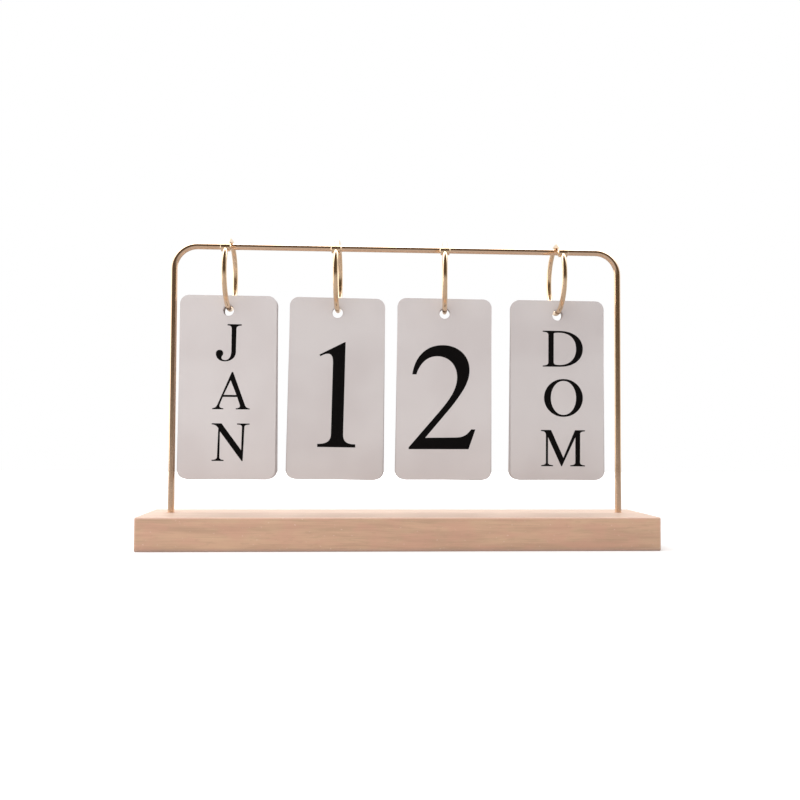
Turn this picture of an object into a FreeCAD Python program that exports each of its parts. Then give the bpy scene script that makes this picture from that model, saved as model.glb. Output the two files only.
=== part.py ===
import FreeCAD, Part
import math
import os

import Sketcher

os.makedirs("parts", exist_ok=True)

# Perpetual desk calendar: a wooden plank, a bent wire frame plugged into it, and four hinged book rings
# on the bar of the frame, each with its own pack of cards.
# Frame of the model: X runs along the plank, Y runs to the back, Z is up.
# The origin is the centre of the plank's underside.

doc = FreeCAD.newDocument("PerpetualCalendar")
sizes = doc.addObject("Spreadsheet::Sheet", "Sizes")

# Driving dimensions, in millimetres and degrees.
DIMENSIONS = {
    # Plank
    "plank_length": 280.0,
    "plank_depth": 60.0,
    "plank_thickness": 18.0,
    "plank_edge_round": 0.8,
    "socket_depth": 12.0,
    "socket_mouth_chamfer": 0.7,
    "socket_clearance": 0.05,
    # Wire frame
    "frame_wire": 3.6,
    "frame_span": 254.0,
    "frame_rise": 150.0,
    "frame_bend": 13.0,
    "frame_set_back": 6.0,
    "frame_end_chamfer": 0.4,
    # Book rings
    "ring_bore": 36.0,
    "ring_wire": 2.8,
    "ring_on_bar_clearance": 0.05,
    "hinge_turn": 48.0,
    "eye_radius": 2.3,
    "eye_thickness": 2.4,
    "eye_side_gap": 0.05,
    "eye_swing_clearance": 0.25,
    "rivet_radius": 0.8,
    "rivet_clearance": 0.05,
    "rivet_head_radius": 1.6,
    "rivet_head_top_radius": 1.0,
    "rivet_head_rise": 0.5,
    "tongue_radius": 0.7,
    "tongue_reach": 1.6,
    "tongue_root": 0.6,
    "tongue_clearance": 0.1,
    "tongue_end_gap": 0.3,
    "closure_gap": 0.1,
    # Cards
    "card_width": 54.0,
    "card_height": 103.0,
    "card_thickness": 0.4,
    "card_corner": 5.0,
    "card_hole_radius": 3.0,
    "card_hole_drop": 8.5,
    "card_hang_clearance": 0.15,
    "card_pitch": 0.5,
    "front_card_gap": 0.3,
    "fan_lean": 0.45,
}

# One row for each hanger: its name, its number of cards, its place along the bar, the turn of its ring,
# and the lean of its front card.
HANGERS = (
    ("month", 12, -95.9, -3.3, 0.1),
    ("tens", 4, -34.9, -4.2, 0.6),
    ("units", 10, 26.3, -5.7, 0.3),
    ("weekday", 7, 91.4, 0.7, 0.2),
)

# Each card behind the front one leans a little by the sine of an angle. This is the step in that angle
# from one card to the next, in degrees, so that no two neighbours lean alike.
FAN_STEP = 137.5
# The angle starts this many steps further on for each card in the pack, so that no two packs look alike.
FAN_START = 0.35

# Heights closer than this, in millimetres, count as the same.
NEAR = 0.01
# A rotation that leaves a solid as it is.
UPRIGHT = "rotation(vector(0; 0; 1); 0)"

row = 0
for name, value in DIMENSIONS.items():
    row += 1
    sizes.set(f"A{row}", name)
    sizes.set(f"B{row}", str(value))
    sizes.setAlias(f"B{row}", name)
for hanger, count, along, turn, lean in HANGERS:
    for name, value in ((f"{hanger}_along", along), (f"{hanger}_turn", turn), (f"{hanger}_lean", lean)):
        row += 1
        sizes.set(f"A{row}", name)
        sizes.set(f"B{row}", str(value))
        sizes.setAlias(f"B{row}", name)
doc.recompute()

# Sizes that follow from the driving ones, written as expressions.
BAR_RADIUS = "(Sizes.frame_wire / 2)"
RING_RADIUS = "(Sizes.ring_wire / 2)"
RING_CENTRELINE = "(Sizes.ring_bore / 2 + Sizes.ring_wire / 2)"
BAR_HEIGHT = "(Sizes.plank_thickness + Sizes.frame_rise)"
RING_HEIGHT = f"({BAR_HEIGHT} + {BAR_RADIUS} + Sizes.ring_on_bar_clearance - Sizes.ring_bore / 2)"
CLOSURE_TURN = "(Sizes.hinge_turn + 180)"
PIN_UP = f"({RING_CENTRELINE} * cos(Sizes.hinge_turn * 1deg))"
PIN_FORWARD = f"({RING_CENTRELINE} * sin(Sizes.hinge_turn * 1deg))"
CLOSURE_UP = f"({RING_CENTRELINE} * cos({CLOSURE_TURN} * 1deg))"
CLOSURE_FORWARD = f"({RING_CENTRELINE} * sin({CLOSURE_TURN} * 1deg))"
# The bore for the rivet is drilled right through both eyes, with some length to spare.
BORE_LENGTH = "4 * Sizes.eye_thickness"
BORE_LOW = "-2 * Sizes.eye_thickness"

finished = []


def bind(thing, **expressions):
    """Tie properties of a document object to the sheet."""
    for key, expression in expressions.items():
        thing.setExpression(key, expression)


def place(thing, where, turned=UPRIGHT):
    """Tie the placement of an object to a position and a rotation written as expressions."""
    across, deep, high = where
    thing.setExpression("Placement", f"placement(vector({across}; {deep}; {high}); {turned})")


def origin_plane(body, role):
    """Return one of the origin planes of a body."""
    return next(plane for plane in body.Origin.OriginFeatures if plane.Role == role)


def sketch_on(body, role, name):
    """Add a sketch to a body, on one of its own origin planes."""
    sketch = body.newObject("Sketcher::SketchObject", name)
    sketch.AttachmentSupport = [(origin_plane(body, role), "")]
    sketch.MapMode = "FlatFace"
    return sketch


def size_constraint(sketch, constraint, expression):
    """Add a dimension to a sketch and tie it to the sheet."""
    index = sketch.addConstraint(constraint)
    sketch.setExpression(f"Constraints[{index}]", expression)


def finish(thing, label):
    """Name a finished sub-part."""
    thing.Label = label
    finished.append(thing)


def edges_where(shape, test):
    """Return the names of the edges of a shape that pass a test."""
    return [f"Edge{i + 1}" for i, edge in enumerate(shape.Edges) if test(edge)]


def rectangle(sketch, width, depth):
    """Draw a rectangle centred on the origin of a sketch. Its sides are two sizes of the sheet."""
    half_width, half_depth = DIMENSIONS[width] / 2, DIMENSIONS[depth] / 2
    corners = [(-1, -1), (1, -1), (1, 1), (-1, 1)]
    points = [FreeCAD.Vector(half_width * x, half_depth * y, 0) for x, y in corners]
    for i in range(4):
        sketch.addGeometry(Part.LineSegment(points[i], points[(i + 1) % 4]))
    for i in range(4):
        sketch.addConstraint(Sketcher.Constraint("Coincident", i, 2, (i + 1) % 4, 1))
    for i in (0, 2):
        sketch.addConstraint(Sketcher.Constraint("Horizontal", i))
    for i in (1, 3):
        sketch.addConstraint(Sketcher.Constraint("Vertical", i))
    sketch.addConstraint(Sketcher.Constraint("Symmetric", 0, 1, 2, 1, -1, 1))
    size_constraint(sketch, Sketcher.Constraint("DistanceX", 0, 1, 0, 2, 2 * half_width), f"Sizes.{width}")
    size_constraint(sketch, Sketcher.Constraint("DistanceY", 1, 1, 1, 2, 2 * half_depth), f"Sizes.{depth}")


def make_plank():
    """The plank, with a blind socket for each foot of the wire frame."""
    body = doc.addObject("PartDesign::Body", "Plank")
    outline = sketch_on(body, "XY_Plane", "PlankOutline")
    rectangle(outline, "plank_length", "plank_depth")
    slab = body.newObject("PartDesign::Pad", "PlankSlab")
    slab.Profile = outline
    bind(slab, Length="Sizes.plank_thickness")
    doc.recompute()
    rounded = body.newObject("PartDesign::Fillet", "PlankEdges")
    rounded.Base = (slab, edges_where(slab.Shape, lambda edge: True))
    bind(rounded, Radius="Sizes.plank_edge_round")
    doc.recompute()
    before = rounded.Shape.Volume
    feet = sketch_on(body, "XY_Plane", "SocketPlaces")
    feet.setExpression("AttachmentOffset.Base.z", "Sizes.plank_thickness")
    half_span, set_back = DIMENSIONS["frame_span"] / 2, DIMENSIONS["frame_set_back"]
    radius = DIMENSIONS["frame_wire"] / 2 + DIMENSIONS["socket_clearance"]
    for side in (-1, 1):
        centre = FreeCAD.Vector(side * half_span, set_back, 0)
        circle = feet.addGeometry(Part.Circle(centre, FreeCAD.Vector(0, 0, 1), radius))
        ends = (circle, 3, -1, 1) if side < 0 else (-1, 1, circle, 3)
        size_constraint(feet, Sketcher.Constraint("DistanceX", *ends, half_span), "Sizes.frame_span / 2")
        size_constraint(feet, Sketcher.Constraint("DistanceY", -1, 1, circle, 3, set_back),
                        "Sizes.frame_set_back")
        size_constraint(feet, Sketcher.Constraint("Radius", circle, radius),
                        f"{BAR_RADIUS} + Sizes.socket_clearance")
    sockets = body.newObject("PartDesign::Pocket", "Sockets")
    sockets.Profile = feet
    bind(sockets, Length="Sizes.socket_depth")
    doc.recompute()
    if sockets.Shape.Volume >= before:
        raise RuntimeError("the sockets cut nothing")
    top = DIMENSIONS["plank_thickness"]
    widest = 2 * radius + NEAR
    mouths = body.newObject("PartDesign::Chamfer", "SocketMouths")

    def is_mouth(edge):
        """Tell whether an edge is the round mouth of a socket."""
        box = edge.BoundBox
        return box.XLength < widest and box.YLength < widest and box.ZMin > top - NEAR

    mouths.Base = (sockets, edges_where(sockets.Shape, is_mouth))
    bind(mouths, Size="Sizes.socket_mouth_chamfer")
    body.Tip = mouths
    finish(body, "base_plank")


def make_frame():
    """The bent wire: two uprights, two round bends and the bar."""
    body = doc.addObject("PartDesign::Body", "Frame")
    path = sketch_on(body, "XZ_Plane", "FramePath")
    half, bend = DIMENSIONS["frame_span"] / 2, DIMENSIONS["frame_bend"]
    radius = DIMENSIONS["frame_wire"] / 2
    top = DIMENSIONS["frame_rise"] + DIMENSIONS["socket_depth"]
    left = path.addGeometry(Part.LineSegment(FreeCAD.Vector(-half, 0, 0),
                                             FreeCAD.Vector(-half, top - bend, 0)))
    bar = path.addGeometry(Part.LineSegment(FreeCAD.Vector(bend - half, top, 0),
                                            FreeCAD.Vector(half - bend, top, 0)))
    right = path.addGeometry(Part.LineSegment(FreeCAD.Vector(half, top - bend, 0),
                                              FreeCAD.Vector(half, 0, 0)))
    up = FreeCAD.Vector(0, 0, 1)
    quarter = math.pi / 2
    corner_left = path.addGeometry(Part.ArcOfCircle(
        Part.Circle(FreeCAD.Vector(bend - half, top - bend, 0), up, bend), quarter, 2 * quarter))
    corner_right = path.addGeometry(Part.ArcOfCircle(
        Part.Circle(FreeCAD.Vector(half - bend, top - bend, 0), up, bend), 0, quarter))
    path.addConstraint(Sketcher.Constraint("Tangent", left, 2, corner_left, 2))
    path.addConstraint(Sketcher.Constraint("Tangent", corner_left, 1, bar, 1))
    path.addConstraint(Sketcher.Constraint("Tangent", bar, 2, corner_right, 2))
    path.addConstraint(Sketcher.Constraint("Tangent", corner_right, 1, right, 1))
    path.addConstraint(Sketcher.Constraint("Vertical", left))
    path.addConstraint(Sketcher.Constraint("Vertical", right))
    path.addConstraint(Sketcher.Constraint("Horizontal", bar))
    path.addConstraint(Sketcher.Constraint("Equal", corner_left, corner_right))
    path.addConstraint(Sketcher.Constraint("Symmetric", left, 1, right, 2, -1, 1))
    size_constraint(path, Sketcher.Constraint("Radius", corner_left, bend), "Sizes.frame_bend")
    size_constraint(path, Sketcher.Constraint("DistanceX", left, 1, right, 2, 2 * half), "Sizes.frame_span")
    size_constraint(path, Sketcher.Constraint("DistanceY", left, 1, bar, 1, top),
                    "Sizes.frame_rise + Sizes.socket_depth")
    section = sketch_on(body, "XY_Plane", "FrameSection")
    circle = section.addGeometry(Part.Circle(FreeCAD.Vector(-half, 0, 0), up, radius))
    section.addConstraint(Sketcher.Constraint("PointOnObject", circle, 3, -1))
    size_constraint(section, Sketcher.Constraint("DistanceX", circle, 3, -1, 1, half),
                    "Sizes.frame_span / 2")
    size_constraint(section, Sketcher.Constraint("Radius", circle, radius), BAR_RADIUS)
    doc.recompute()
    pipe = body.newObject("PartDesign::AdditivePipe", "FrameWire")
    pipe.Profile = section
    pipe.Spine = (path, [])
    doc.recompute()
    ends = body.newObject("PartDesign::Chamfer", "FrameEnds")
    ends.Base = (pipe, edges_where(pipe.Shape, lambda edge: edge.BoundBox.ZMax < NEAR))
    bind(ends, Size="Sizes.frame_end_chamfer")
    body.Tip = ends
    place(body, ("0", "Sizes.frame_set_back", "Sizes.plank_thickness - Sizes.socket_depth"))
    finish(body, "frame_wire")


def cylinder(name, radius, length, where, turned=UPRIGHT):
    """A cylinder tied to the sheet."""
    solid = doc.addObject("Part::Cylinder", name)
    bind(solid, Radius=radius, Height=length)
    place(solid, where, turned)
    return solid


def cut(name, base, tool):
    """One solid less another."""
    result = doc.addObject("Part::Cut", name)
    result.Base = base
    result.Tool = tool
    return result


def fuse(name, pieces):
    """Several solids made one."""
    result = doc.addObject("Part::MultiFuse", name)
    result.Shapes = pieces
    result.Refine = True
    return result


def ring_placement(hanger):
    """Where a ring hangs: its own X is up, its own Y points to the front, and its own Z is its axis."""
    where = (f"Sizes.{hanger}_along", "Sizes.frame_set_back", RING_HEIGHT)
    turned = f"rotation(vector(0; 0; 1); Sizes.{hanger}_turn) * rotation(vector(1; 0; 1); 180)"
    return where, turned


def half_ring(name, start, sweep):
    """Half of the round wire of a ring, from one turn to another about the ring's axis."""
    wire = doc.addObject("Part::Torus", name)
    bind(wire, Radius1=RING_CENTRELINE, Radius2=RING_RADIUS, Angle3=sweep)
    place(wire, ("0", "0", "0"), f"rotation(vector(0; 0; 1); {start})")
    return wire


def at_hinge(name, radius, length, low):
    """A cylinder round the hinge's axis, from one height along that axis upwards."""
    return cylinder(name, radius, length, (PIN_UP, PIN_FORWARD, low))


def at_closure(name, radius, length):
    """A cylinder along the wire at the closure, from inside the hanging half towards the gate half."""
    where = (f"{CLOSURE_UP} - Sizes.tongue_root * sin({CLOSURE_TURN} * 1deg)",
             f"{CLOSURE_FORWARD} + Sizes.tongue_root * cos({CLOSURE_TURN} * 1deg)", "0")
    turned = f"rotation(vector(0; 0; 1); {CLOSURE_TURN}) * rotation(vector(1; 0; 0); 90)"
    return cylinder(name, radius, length, where, turned)


def make_hanging_half(hanger):
    """The half that lies over the bar: a flat eye at the hinge and a tongue at the closure."""
    gap_turn = f"(Sizes.closure_gap / {RING_CENTRELINE} * 180 / pi)"
    wire = half_ring(f"{hanger}HangingWire", f"{CLOSURE_TURN} + {gap_turn}", f"180 - {gap_turn}")
    room = at_hinge(f"{hanger}HangingRoom", "Sizes.eye_radius + Sizes.eye_swing_clearance",
                    "Sizes.eye_thickness + Sizes.eye_side_gap", "-Sizes.eye_thickness")
    trimmed = cut(f"{hanger}HangingTrimmed", wire, room)
    eye = at_hinge(f"{hanger}HangingEye", "Sizes.eye_radius", "Sizes.eye_thickness", "Sizes.eye_side_gap")
    tongue = at_closure(f"{hanger}Tongue", "Sizes.tongue_radius", "Sizes.tongue_reach + Sizes.tongue_root")
    joined = fuse(f"{hanger}HangingJoined", [trimmed, eye, tongue])
    bore = at_hinge(f"{hanger}HangingBore", "Sizes.rivet_radius", BORE_LENGTH, BORE_LOW)
    half = cut(f"{hanger}HangingHalf", joined, bore)
    place(half, *ring_placement(hanger))
    finish(half, f"{hanger}_ring_hanging_half")


def make_gate_half(hanger):
    """The half that opens and carries the cards: a flat eye at the hinge and a socket at the closure."""
    wire = half_ring(f"{hanger}GateWire", "Sizes.hinge_turn", "180")
    room = at_hinge(f"{hanger}GateRoom", "Sizes.eye_radius + Sizes.eye_swing_clearance",
                    "Sizes.eye_thickness + Sizes.eye_side_gap", "-Sizes.eye_side_gap")
    trimmed = cut(f"{hanger}GateTrimmed", wire, room)
    eye = at_hinge(f"{hanger}GateEye", "Sizes.eye_radius", "Sizes.eye_thickness",
                   "-Sizes.eye_thickness - Sizes.eye_side_gap")
    joined = fuse(f"{hanger}GateJoined", [trimmed, eye])
    bore = at_hinge(f"{hanger}GateBore", "Sizes.rivet_radius + Sizes.rivet_clearance", BORE_LENGTH, BORE_LOW)
    bored = cut(f"{hanger}GateBored", joined, bore)
    socket = at_closure(f"{hanger}GateSocket", "Sizes.tongue_radius + Sizes.tongue_clearance",
                        "Sizes.tongue_reach + Sizes.tongue_root + Sizes.tongue_end_gap")
    half = cut(f"{hanger}GateHalf", bored, socket)
    place(half, *ring_placement(hanger))
    finish(half, f"{hanger}_ring_gate_half")


def make_rivet(hanger):
    """The rivet that the gate turns on, with a head at each end."""
    reach = "(Sizes.eye_thickness + 2 * Sizes.eye_side_gap)"
    shaft = cylinder(f"{hanger}RivetShaft", "Sizes.rivet_radius", f"2 * {reach}",
                     (PIN_UP, PIN_FORWARD, f"-{reach}"))
    heads = []
    for end, side, turned in (("Upper", 1, UPRIGHT), ("Lower", -1, "rotation(vector(1; 0; 0); 180)")):
        head = doc.addObject("Part::Cone", f"{hanger}{end}RivetHead")
        bind(head, Radius1="Sizes.rivet_head_radius", Radius2="Sizes.rivet_head_top_radius",
             Height="Sizes.rivet_head_rise")
        place(head, (PIN_UP, PIN_FORWARD, f"{side} * {reach}"), turned)
        heads.append(head)
    rivet = fuse(f"{hanger}Rivet", [shaft, *heads])
    place(rivet, *ring_placement(hanger))
    finish(rivet, f"{hanger}_ring_rivet")


def card_outline(body, name):
    """The rounded outline of a card and its hole. The hole's centre is the origin."""
    sketch = sketch_on(body, "XZ_Plane", name)
    half, top, bend = DIMENSIONS["card_width"] / 2, DIMENSIONS["card_hole_drop"], DIMENSIONS["card_corner"]
    low = top - DIMENSIONS["card_height"]
    radius = DIMENSIONS["card_hole_radius"]
    lines = (
        ((bend - half, low), (half - bend, low)),
        ((half, low + bend), (half, top - bend)),
        ((half - bend, top), (bend - half, top)),
        ((-half, top - bend), (-half, low + bend)),
    )
    for first, last in lines:
        sketch.addGeometry(Part.LineSegment(FreeCAD.Vector(*first, 0), FreeCAD.Vector(*last, 0)))
    up = FreeCAD.Vector(0, 0, 1)
    quarter = math.pi / 2
    corners = ((half - bend, low + bend), (half - bend, top - bend), (bend - half, top - bend),
               (bend - half, low + bend))
    for i, centre in enumerate(corners):
        start = (i - 1) * quarter
        sketch.addGeometry(Part.ArcOfCircle(Part.Circle(FreeCAD.Vector(*centre, 0), up, bend),
                                            start, start + quarter))
    for i in range(4):
        sketch.addConstraint(Sketcher.Constraint("Tangent", i, 2, 4 + i, 1))
        sketch.addConstraint(Sketcher.Constraint("Tangent", 4 + i, 2, (i + 1) % 4, 1))
    for i in (0, 2):
        sketch.addConstraint(Sketcher.Constraint("Horizontal", i))
    for i in (1, 3):
        sketch.addConstraint(Sketcher.Constraint("Vertical", i))
    for i in (5, 6, 7):
        sketch.addConstraint(Sketcher.Constraint("Equal", 4, i))
    hole = sketch.addGeometry(Part.Circle(FreeCAD.Vector(0, 0, 0), up, radius))
    sketch.addConstraint(Sketcher.Constraint("Coincident", hole, 3, -1, 1))
    size_constraint(sketch, Sketcher.Constraint("Radius", 4, bend), "Sizes.card_corner")
    size_constraint(sketch, Sketcher.Constraint("DistanceX", -1, 1, 1, 1, half), "Sizes.card_width / 2")
    size_constraint(sketch, Sketcher.Constraint("DistanceX", 3, 1, -1, 1, half), "Sizes.card_width / 2")
    size_constraint(sketch, Sketcher.Constraint("DistanceY", -1, 1, 2, 1, top), "Sizes.card_hole_drop")
    size_constraint(sketch, Sketcher.Constraint("DistanceY", 0, 1, -1, 1, -low),
                    "Sizes.card_height - Sizes.card_hole_drop")
    size_constraint(sketch, Sketcher.Constraint("Radius", hole, radius), "Sizes.card_hole_radius")
    return sketch


def make_card(hanger, count, number):
    """One card, hung on the wire at its own place in the pack. Card 1 is the one in front."""
    body = doc.addObject("PartDesign::Body", f"{hanger}Card{number}")
    outline = card_outline(body, f"{hanger}CardOutline{number}")
    sheet = body.newObject("PartDesign::Pad", f"{hanger}CardSheet{number}")
    sheet.Profile = outline
    sheet.Midplane = True
    bind(sheet, Length="Sizes.card_thickness")
    body.Tip = sheet
    behind = number - 1 - (count - 1) / 2
    depth = f"({behind} * Sizes.card_pitch)"
    if number == 1:
        depth = f"({depth} - Sizes.front_card_gap)"
    fan = math.sin(math.radians(FAN_STEP * (number + FAN_START * count)))
    lean = f"Sizes.{hanger}_lean"
    if number > 1:
        lean = f"({lean} + {fan:.4f} * Sizes.fan_lean)"
    across = f"Sizes.{hanger}_along - {depth} * tan(Sizes.{hanger}_turn * 1deg)"
    drop = f"sqrt(pow({RING_CENTRELINE}; 2) - pow({depth} / cos(Sizes.{hanger}_turn * 1deg); 2))"
    slack = f"(Sizes.card_hole_radius - {RING_RADIUS} - Sizes.card_hang_clearance)"
    place(body, (across, f"Sizes.frame_set_back + {depth}", f"{RING_HEIGHT} - {drop} - {slack}"),
          f"rotation(vector(0; 1; 0); {lean})")
    finish(body, f"{hanger}_card_{number:02d}")


make_plank()
make_frame()
for hanger, count, *_ in HANGERS:
    make_hanging_half(hanger)
    make_gate_half(hanger)
    make_rivet(hanger)
    for number in range(1, count + 1):
        make_card(hanger, count, number)
doc.recompute()

for thing in doc.Objects:
    if any(word in thing.State for word in ("Invalid", "Error")):
        raise RuntimeError(f"{thing.Name} did not compute: {thing.State}")
for thing in finished:
    if thing.Shape.isNull() or not thing.Shape.isValid() or len(thing.Shape.Solids) != 1:
        raise RuntimeError(f"{thing.Label} has no single valid solid")
for thing in finished:
    thing.Shape.exportStep(os.path.join("parts", f"{thing.Label}.step"))
print(f"{len(finished)} sub-parts written")
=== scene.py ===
"""Finishes, print, light and camera of the perpetual desk calendar. Lengths are in metres."""

import logging
import math
from dataclasses import dataclass
from enum import Enum
from typing import Iterable, Sequence, Union

import bpy
from mathutils import Matrix, Vector


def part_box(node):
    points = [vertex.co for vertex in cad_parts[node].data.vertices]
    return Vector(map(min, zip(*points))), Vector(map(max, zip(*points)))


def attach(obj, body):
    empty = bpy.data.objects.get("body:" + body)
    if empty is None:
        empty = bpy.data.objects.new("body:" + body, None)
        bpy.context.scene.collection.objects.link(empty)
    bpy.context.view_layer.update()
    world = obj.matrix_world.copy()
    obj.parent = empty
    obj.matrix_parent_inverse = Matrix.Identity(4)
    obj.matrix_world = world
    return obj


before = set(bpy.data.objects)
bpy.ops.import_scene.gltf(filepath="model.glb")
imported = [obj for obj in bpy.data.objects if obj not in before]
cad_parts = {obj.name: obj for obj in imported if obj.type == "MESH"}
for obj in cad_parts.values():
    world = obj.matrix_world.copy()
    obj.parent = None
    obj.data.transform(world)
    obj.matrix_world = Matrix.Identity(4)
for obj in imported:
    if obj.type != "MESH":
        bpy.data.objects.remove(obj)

log = logging.getLogger("calendar")
MM = 0.001
Colour = tuple[float, float, float]
Socket = bpy.types.NodeSocket
Value = Union[float, Sequence[float], Socket]
Point = tuple[float, float]
Band = tuple[float, float]  # Where a soft step starts and ends.

# Where a mix node set to colours has its factor, its two colours and its result.
MIX_COLOUR_INPUTS = (0, 6, 7)
MIX_COLOUR_OUTPUT = 2


class Effect(Enum):
    """Surface effects that several finishes share, each one a shader node group."""

    GRAIN = "wood_grain"
    EDGE = "edge_wear_and_highlight"
    POLISH = "metal_polish"
    FIBRE = "paper_fibre"
    HOLE = "hole_shade_and_wear"
    DUST = "settled_dust"


class Hanger(Enum):
    """The four packs on the bar, from left to right."""

    MONTH = "month"
    TENS = "tens"
    UNITS = "units"
    WEEKDAY = "weekday"


class Nodes:
    """Short-hand for building one node tree."""

    def __init__(self, tree: bpy.types.NodeTree) -> None:
        """Take over a node tree.

        Args:
            tree: The tree that every call adds to.
        """
        self.tree = tree

    def set(self, socket: Socket, value: Value) -> None:
        """Link a socket to another, or give it a plain value.

        Args:
            socket: The input to fill.
            value: A socket to link from, or a number or numbers.
        """
        if isinstance(value, bpy.types.NodeSocket):
            self.tree.links.new(value, socket)
        elif isinstance(value, (int, float)):
            socket.default_value = value
        else:
            wanted = len(socket.default_value)
            socket.default_value = (tuple(value) + (1.0,) * wanted)[:wanted]

    def add(self, kind: str, inputs: dict[str, Value] | None = None, **options: object) -> bpy.types.Node:
        """Add a node.

        Args:
            kind: The node's type name.
            inputs: Values or links for its inputs, by name.
            **options: Properties of the node itself.

        Returns:
            The new node.
        """
        node = self.tree.nodes.new(kind)
        for key, value in options.items():
            setattr(node, key, value)
        self.fill(node, inputs or {})
        return node

    def fill(self, node: bpy.types.Node, inputs: dict[str, Value]) -> None:
        """Fill a node's inputs.

        Args:
            node: The node.
            inputs: Values or links for its inputs, by name.
        """
        for name, value in inputs.items():
            self.set(node.inputs[name], value)

    def math(self, operation: str, *values: Value) -> Socket:
        """Add a sum.

        Args:
            operation: The kind of sum.
            *values: Its terms in order.

        Returns:
            The result.
        """
        node = self.add("ShaderNodeMath", operation=operation)
        for socket, value in zip(node.inputs, values):
            self.set(socket, value)
        return node.outputs[0]

    def vector(self, operation: str, *values: Value) -> Socket:
        """Add a sum on vectors.

        Args:
            operation: The kind of sum.
            *values: Its terms in order.

        Returns:
            The result, a vector or a number.
        """
        node = self.add("ShaderNodeVectorMath", operation=operation)
        for socket, value in zip(node.inputs, values):
            self.set(socket, value)
        return node.outputs["Value" if operation in ("LENGTH", "DISTANCE", "DOT_PRODUCT") else "Vector"]

    def step(self, value: Value, low: Value, high: Value, start: float = 0.0, end: float = 1.0) -> Socket:
        """Add a soft step.

        Args:
            value: What is tested.
            low: Where the step starts.
            high: Where the step ends.
            start: The result at low.
            end: The result at high.

        Returns:
            The result.
        """
        inputs = {"Value": value, "From Min": low, "From Max": high, "To Min": start, "To Max": end}
        return self.add("ShaderNodeMapRange", inputs, interpolation_type="SMOOTHSTEP").outputs["Result"]

    def mix(self, factor: Value, first: Value, second: Value) -> Socket:
        """Add a mix of two colours.

        Args:
            factor: How much of the second one shows.
            first: The colour at 0.
            second: The colour at 1.

        Returns:
            The mixed colour.
        """
        node = self.add("ShaderNodeMix", data_type="RGBA")
        for index, value in zip(MIX_COLOUR_INPUTS, (factor, first, second)):
            self.set(node.inputs[index], value)
        return node.outputs[MIX_COLOUR_OUTPUT]

    def layers(self, base: Value, over: Iterable[tuple[Value, Value]]) -> Value:
        """Lay colours over each other.

        Args:
            base: The lowest colour.
            over: For each colour on top, in order, how much of it shows and the colour.

        Returns:
            The mixed colour.
        """
        for factor, colour in over:
            base = self.mix(factor, base, colour)
        return base

    def bump(self, strength: float, distance: float, height: Value) -> Socket:
        """Add fine relief.

        Args:
            strength: How much of it shows.
            distance: How high it stands.
            height: The pattern, from 0 to 1.

        Returns:
            The normal with the relief.
        """
        inputs = {"Strength": strength, "Distance": distance, "Height": height}
        return self.add("ShaderNodeBump", inputs).outputs["Normal"]

    def noise(self, vector: Value, scale: Value, detail: float = 3.0, roughness: float = 0.5) -> Socket:
        """Add a cloud pattern.

        Args:
            vector: The place on the surface.
            scale: Clouds per metre.
            detail: How many finer layers lie on it.
            roughness: How strong the finer layers are.

        Returns:
            The pattern, from 0 to 1.
        """
        node = self.add("ShaderNodeTexNoise", {"Vector": vector, "Scale": scale, "Detail": detail,
                                               "Roughness": roughness})
        return node.outputs["Fac"]

    def split(self, vector: Value) -> tuple[Socket, Socket, Socket]:
        """Return the three parts of a vector."""
        node = self.add("ShaderNodeSeparateXYZ", {"Vector": vector})
        return node.outputs[0], node.outputs[1], node.outputs[2]

    def join(self, across: Value, deep: Value, high: Value) -> Socket:
        """Return a vector made of three parts."""
        return self.add("ShaderNodeCombineXYZ", {"X": across, "Y": deep, "Z": high}).outputs[0]


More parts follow.
